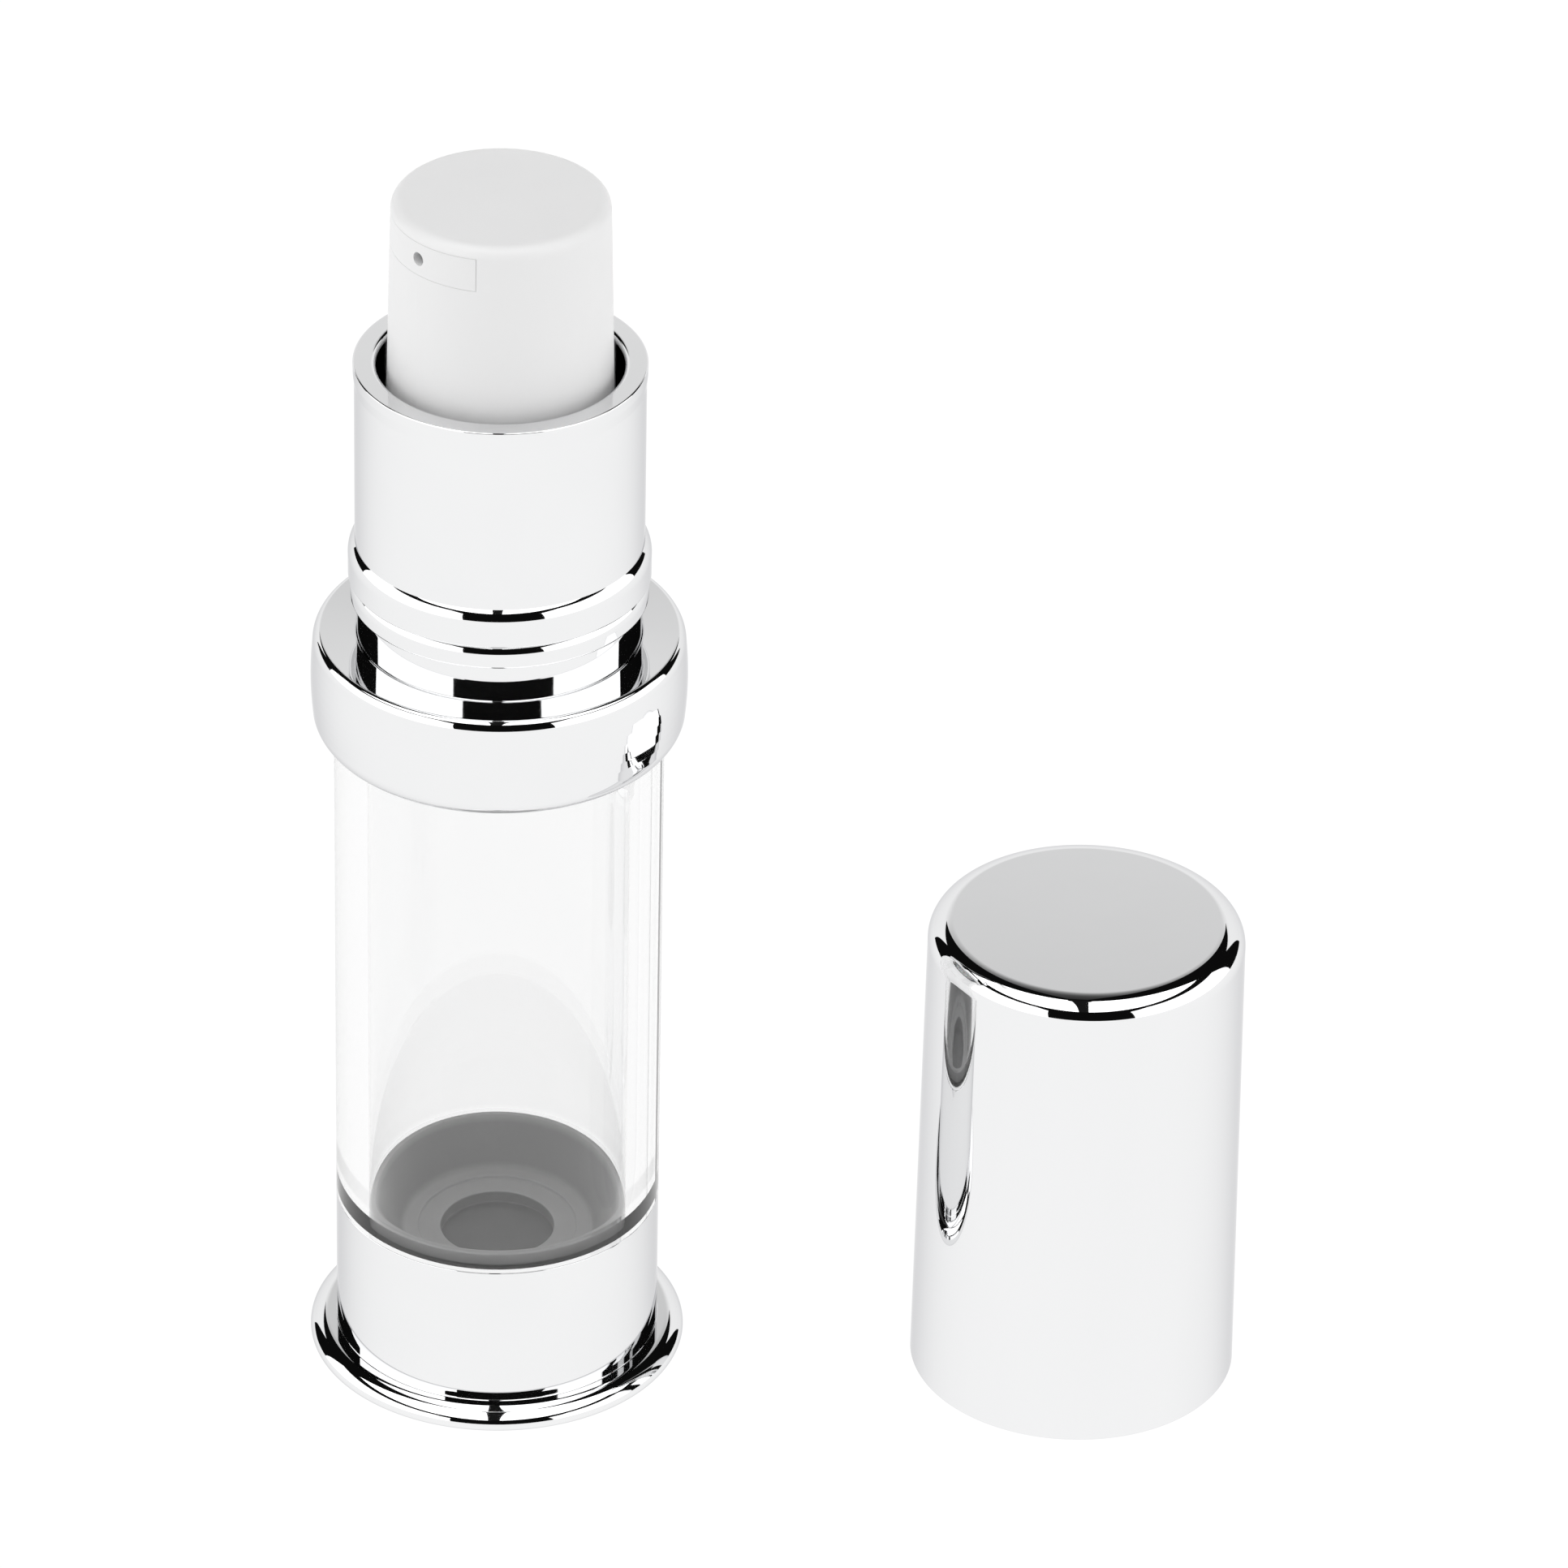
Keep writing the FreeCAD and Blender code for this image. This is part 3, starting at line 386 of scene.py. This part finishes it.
BASE_RING = [(9.0, 0, 0), (12.27, 0, 0.44)] + bowed(*FLANGE_EDGE) + bowed(*FLANGE_TOP) + [
    (11.0789, 1.4, 0), (10.54, 1.4, 0.06), (10.54, 11.39, 0.07), (9.77, 11.39, 0.07),
    (9.77, 0.6, 0), (9.0, 0.6, 0),
]
chrome = finish("chrome_plating", CHROME, CHROME_SHADE, rough=(0.015, 0.04), patch=0.006,
                grain=0.005, height=2e-6)
bright_metal(chrome, CHROME_EDGE)
piece = lathed("foot_ring", BASE_RING, chrome)
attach(piece, "bottle")
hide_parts("base_ring")

# Base plug: a white moulded plug that closes the barrel's foot, pushed in from below, with a
# small vent hole through it. The overcap's lining and the screw closure are the same plastic.
WHITE = (0.8, 0.8, 0.795, 1.0)
WHITE_SHADE = (0.76, 0.76, 0.75, 1.0)


def dress(name, material):
    """Gives a CAD piece its finish."""
    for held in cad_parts[name].material_slots:
        held.material = material


white = finish("white_plastic", WHITE, WHITE_SHADE, rough=(0.34, 0.46), patch=0.004,
               grain=0.00025, height=3e-6)
dress("base_plug", white)

# Barrel: clear polished plastic with a thick wall, moulded in one piece with its neck thread.
# Faint flow lines run up it from the gate, and only show where light grazes the wall.
CLEAR = (0.957, 0.957, 0.957, 1.0)
CLEAR_SHADE = (0.952, 0.953, 0.954, 1.0)
CLEAR_IOR = 1.52

clear = finish("clear_plastic", CLEAR, CLEAR_SHADE, rough=(0.0, 0.012), patch=0.005,
               grain=0.003, height=1.2e-6, stretch=(1, 1, 0.15))
shader = clear.node_tree.nodes["Principled BSDF"]
shader.inputs["Transmission Weight"].default_value = 1.0
shader.inputs["IOR"].default_value = CLEAR_IOR
dress("barrel", clear)

# Follower piston: a soft grey cup that rides up the barrel behind the product. Its lips are
# rounded so that they seal; the well in its floor and its inner wall are painted darker, a painted
# shade.
PISTON = [
    (0, 7.07, 0), (7.0, 7.07, 0.3), (7.0, 6.17, 0.1), (7.96, 5.27, 0.1), (8.36, 5.27, 0.12),
    (8.36, 6.17, 0.15), (7.9, 6.57, 0.2), (7.9, 10.77, 0.2), (8.36, 11.17, 0.15),
    (8.36, 12.07, 0.12), (7.96, 12.07, 0.12), (6.203, 9.07, 0.3), (5.2, 9.07, 0.08),
    (5.2, 8.82, 0.08), (3.7035, 8.82, 0.1), (3.7035, 7.97, 0.12), (0, 7.97, 0),
]
PISTON_GREY = (0.44, 0.44, 0.44, 1.0)
PISTON_SHADE = (0.4, 0.4, 0.4, 1.0)
# Painted shade: what share of that grey each zone keeps, and where the zones end, in mm from the
# axis.
# The well in the floor is painted darker, a painted shade.
WELL_PAINTED_SHADE = (0.34, 0.34, 0.34, 1.0)
# The sloping inner wall is painted darker too, a painted shade.
WALL_PAINTED_SHADE = (0.56, 0.56, 0.56, 1.0)
FULL_SHARE = (1.0, 1.0, 1.0, 1.0)
WELL_EDGE = 3.75
WELL_BLUR = 0.08
FLOOR_EDGE = 6.0
WALL_FOOT = 6.4
WALL_TOP = 7.7
LIP_EDGE = 8.0

grey = finish("grey_plastic", PISTON_GREY, PISTON_SHADE, rough=(0.42, 0.56), patch=0.0025,
              grain=0.0003, height=4e-6)
tree = grey.node_tree
shader = tree.nodes["Principled BSDF"]
spot = tree.nodes.new("ShaderNodeTexCoord")
flat = tree.nodes.new("ShaderNodeVectorMath")
flat.operation = "MULTIPLY"
flat.inputs[1].default_value = (1, 1, 0)
reach = tree.nodes.new("ShaderNodeVectorMath")
reach.operation = "LENGTH"
share = tree.nodes.new("ShaderNodeMath")
share.operation = "DIVIDE"
share.inputs[1].default_value = LIP_EDGE * MM
# Painted shade by distance from the axis: darker in the well and on the inner wall's slope.
painted_shade_zones = tree.nodes.new("ShaderNodeValToRGB")
stops = painted_shade_zones.color_ramp.elements
stops[0].position, stops[0].color = (WELL_EDGE - WELL_BLUR) / LIP_EDGE, WELL_PAINTED_SHADE
stops[1].position, stops[1].color = WELL_EDGE / LIP_EDGE, FULL_SHARE
for edge, color in ((FLOOR_EDGE, FULL_SHARE), (WALL_FOOT, WALL_PAINTED_SHADE),
                    (WALL_TOP, WALL_PAINTED_SHADE), (LIP_EDGE, FULL_SHARE)):
    stops.new(edge / LIP_EDGE).color = color
tone = tree.nodes.new("ShaderNodeMix")
tone.data_type = "RGBA"
tone.blend_type = "MULTIPLY"
tone.inputs["Factor"].default_value = 1.0
tree.links.new(spot.outputs["Object"], flat.inputs[0])
tree.links.new(flat.outputs[0], reach.inputs[0])
tree.links.new(reach.outputs["Value"], share.inputs[0])
tree.links.new(share.outputs[0], painted_shade_zones.inputs["Fac"])
tree.links.new(painted_shade_zones.outputs["Color"], tone.inputs["A"])
tree.links.new(shader.inputs["Base Color"].links[0].from_socket, tone.inputs["B"])
tree.links.new(tone.outputs["Result"], shader.inputs["Base Color"])
piece = lathed("piston_cup", PISTON, grey)
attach(piece, "piston")
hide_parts("follower_piston")

# Neck gasket: a thin soft washer, cut from closed-cell foam and laid on the neck, where the
# closure squeezes it. Its cut face shows the cells.
FOAM = (0.82, 0.82, 0.8, 1.0)
FOAM_SHADE = (0.72, 0.72, 0.7, 1.0)
FOAM_CELL = 0.00018

foam = finish("gasket_foam", FOAM, FOAM_SHADE, rough=(0.8, 0.95), patch=0.0006,
              grain=FOAM_CELL, height=2.5e-5)
dress("neck_gasket", foam)

# Pump: housing with the dosing cylinder, guide ring, hollow stem, valve tip and sliding seal,
# all moulded in milky, unpigmented plastic that light sinks a little way into.
MILKY = (0.78, 0.79, 0.78, 1.0)
MILKY_SHADE = (0.72, 0.735, 0.725, 1.0)
MILKY_SHARE = 0.3
MILKY_DEPTH = 0.0006

natural = finish("natural_plastic", MILKY, MILKY_SHADE, rough=(0.28, 0.4), patch=0.003,
                 grain=0.0004, height=3e-6)
shader = natural.node_tree.nodes["Principled BSDF"]
shader.inputs["Subsurface Weight"].default_value = MILKY_SHARE
shader.inputs["Subsurface Scale"].default_value = MILKY_DEPTH
for name in ("pump_housing", "stem_guide", "pump_stem", "valve_tip", "dosing_piston"):
    dress(name, natural)

# Inlet ball: a ground ball of bright stainless steel, which lies loose in the foot of the
# dosing cylinder and closes it on the push stroke.
STEEL = (0.6, 0.6, 0.61, 1.0)
STEEL_SHADE = (0.5, 0.5, 0.52, 1.0)

steel = finish("spring_steel", STEEL, STEEL_SHADE, rough=(0.14, 0.28), patch=0.0015,
               grain=0.0001, height=2e-6, stretch=(1, 1, 4))
steel.node_tree.nodes["Principled BSDF"].inputs["Metallic"].default_value = 1.0
dress("inlet_ball", steel)

# Return spring: stainless steel wire, wound cold into an open coil round the stem. Its foot
# stands on the guide ring, and the seat on the stem presses it together.
COIL_RADIUS = 2.9
COIL_FOOT = 60.79
COIL_LENGTH = 10.1
COIL_ROUNDS = 5.5
COIL_STEPS = 264
WIRE_RADIUS = 0.25
WIRE_SIDES = 12

points = []
for step in range(COIL_STEPS + 1):
    angle = 2 * math.pi * COIL_ROUNDS * step / COIL_STEPS
    height = COIL_FOOT + WIRE_RADIUS + (COIL_LENGTH - 2 * WIRE_RADIUS) * step / COIL_STEPS
    for side in range(WIRE_SIDES):
        roll = 2 * math.pi * side / WIRE_SIDES
        reach = COIL_RADIUS + WIRE_RADIUS * math.cos(roll)
        points.append((
            reach * math.cos(angle) * MM,
            reach * math.sin(angle) * MM,
            (height + WIRE_RADIUS * math.sin(roll)) * MM,
        ))
faces = []
for step in range(COIL_STEPS):
    here, after = step * WIRE_SIDES, (step + 1) * WIRE_SIDES
    for side in range(WIRE_SIDES):
        beside = (side + 1) % WIRE_SIDES
        faces.append((here + side, after + side, after + beside, here + beside))
foot_end = range(WIRE_SIDES)
top_end = reversed(range(COIL_STEPS * WIRE_SIDES, len(points)))
faces += [tuple(foot_end), tuple(top_end)]
piece = shown("coil_spring", points, faces, steel)
piece.data.shade_smooth()
piece.data.set_sharp_from_angle(angle=math.radians(CREASE))
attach(piece, "pump_head")
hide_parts("return_spring")
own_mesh(piece)

# Screw closure: a white moulded ring that screws down on the neck and holds the pump, the
# shoulder ring and the sleeve; only its foot and thread show when the head is off.
dress("screw_closure", white)

# Shoulder ring: a full round belly over the closure, moulded and plated with bright chrome,
# tucked in to the barrel below and rounded in to a flat top round the sleeve.
TUCK = [(10.66, 46.59), (11.4227, 47.0147), (11.88, 48.04)]
BELLY = [(11.88, 48.04), (12.0, 50.425), (11.857, 53.036)]
RIM = [(11.857, 53.036), (11.785, 53.33), (11.6408, 53.595)]
SHOULDER = [(9.95, 46.59, 0)] + bowed(*TUCK) + bowed(*BELLY) + bowed(*RIM) + [
    (11.6408, 53.595, 0), (11.521, 53.76, 0.385), (9.07, 53.71, 0.12), (9.07, 52.97, 0),
    (10.37, 52.97, 0), (10.37, 47.19, 0), (9.95, 47.19, 0),
]
piece = lathed("shoulder_bell", SHOULDER, chrome)
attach(piece, "pump_head")
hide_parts("shoulder_ring")

# Collar sleeve: the tube round the actuator, plated with bright chrome, with a low bead, the
# band that the overcap snaps over, and a flat rim that is softly rounded in to the bore.
SLEEVE = [
    (7.77, 52.97, 0), (9.05, 52.97, 0), (9.05, 56.35, 0.05), (9.45, 56.35, 0.15),
    (9.45, 57.5349, 1.05), (9.1425, 57.8424, 0), (9.1425, 57.95, 0), (9.6, 57.95, 0.12),
    (9.6, 60.0589, 1.47), (9.1695, 60.4894, 0), (9.17, 71.79, 0), (9.24, 72.49, 0),
    (9.24, 73.19, 0.1), (7.77, 73.19, 0.35),
]
piece = lathed("sleeve_tube", SLEEVE, chrome)
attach(piece, "pump_head")
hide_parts("collar_sleeve")

# Actuator and nozzle insert: the push button and the small curved panel with the orifice in
# its side, moulded in dense white plastic with a fine satin surface.
BUTTON = (0.815, 0.815, 0.815, 1.0)
BUTTON_SHADE = (0.795, 0.795, 0.797, 1.0)

button = finish("button_plastic", BUTTON, BUTTON_SHADE, rough=(0.36, 0.46), patch=0.005,
                grain=0.0002, height=3e-6)
for name in ("actuator", "nozzle_insert"):
    dress(name, button)

# Overcap: a deep-drawn aluminium shell with a rounded top edge, polished and anodised bright,
# with faint draw lines up its wall. It stands beside the bottle.
CAP_PLACE = (37.9, -1.1)
CAP_SHELL = [
    (10.2, 0, 0.05), (10.62, 0, 0.08), (10.2209, 33.4, 1.6), (0, 33.4, 0), (0, 32.98, 0),
    (9.8, 32.98, 1.18),
]
ALUMINIUM = (0.87, 0.872, 0.877, 1.0)
ALUMINIUM_SHADE = (0.85, 0.852, 0.857, 1.0)
ALUMINIUM_EDGE = (0.74, 0.74, 0.75, 1.0)

polished = finish("polished_aluminium", ALUMINIUM, ALUMINIUM_SHADE, rough=(0.015, 0.04),
                  patch=0.005, grain=0.003, height=1.2e-6, stretch=(1, 1, 0.12))
bright_metal(polished, ALUMINIUM_EDGE)
piece = lathed("cap_shell", CAP_SHELL, polished, CAP_PLACE)
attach(piece, "overcap")
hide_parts("overcap_shell")

# Overcap lining: a white moulded cup pressed into the shell, with a low ring inside its mouth
# that snaps over the sleeve's band.
dress("overcap_lining", white)
